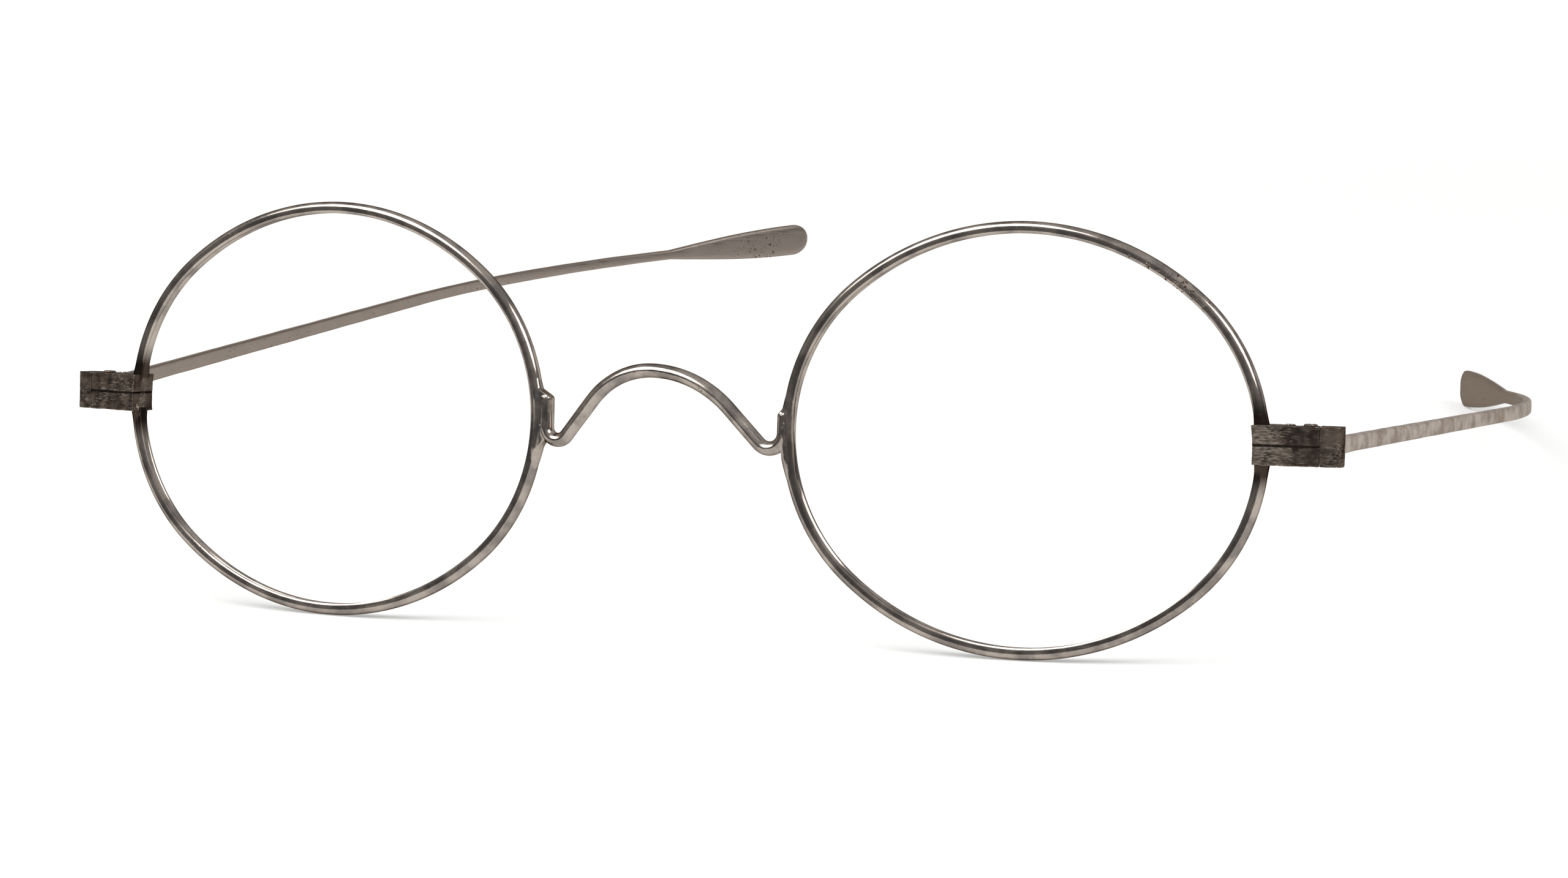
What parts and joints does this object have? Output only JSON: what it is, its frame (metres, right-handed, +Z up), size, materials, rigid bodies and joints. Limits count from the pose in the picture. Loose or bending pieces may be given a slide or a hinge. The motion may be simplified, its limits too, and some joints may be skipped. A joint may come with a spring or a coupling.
{
  "type": "spectacle frame",
  "caption": "Oval wire spectacle frame without lenses: grooved rims, arched bridge, screwed split end pieces, and folding temples with flat rounded pads.",
  "frame": {"origin": "centre of the footprint at table level, as the open spectacles stand by themselves on both rims and on the right temple's pad", "axes": "+X to the right as the front is seen, +Y back along the temples, +Z up from the table"},
  "size_m": [0.1176, 0.1088, 0.0352],
  "materials": {
    "rim_steel": "polished bare steel, worn, with small rust pits",
    "bridge_steel": "polished bare steel with a light hand-filed grain",
    "end_piece_steel": "dark stained steel, filed grain, worn bright on its edges",
    "temple_steel": "dull grey-brown steel, blotched by age",
    "screw_steel": "dark worn steel"
  },
  "bodies": {
    "front": {"rim_left": "rim_steel", "rim_right": "rim_steel", "bridge": "bridge_steel", "end_piece_upper_left": "end_piece_steel", "end_piece_lower_left": "end_piece_steel", "end_piece_upper_right": "end_piece_steel", "end_piece_lower_right": "end_piece_steel", "closing_screw_left": "screw_steel", "closing_screw_right": "screw_steel", "hinge_screw_left": "screw_steel", "hinge_screw_right": "screw_steel"},
    "temple_left": {"temple_butt_left": "end_piece_steel", "temple_left": "temple_steel"},
    "temple_right": {"temple_butt_right": "end_piece_steel", "temple_right": "temple_steel"}
  },
  "joints": [
    {"name": "temple_left_fold", "type": "hinge", "parent": "front", "child": "temple_left", "pos_m": [-0.05592, -0.04877, 0.01784], "axis": [0, -0.1659, -0.9861], "range_deg": [0, 76]},
    {"name": "temple_right_fold", "type": "hinge", "parent": "front", "child": "temple_right", "pos_m": [0.05592, -0.04877, 0.01784], "axis": [0, 0.1659, 0.9861], "range_deg": [0, 76]}
  ]
}
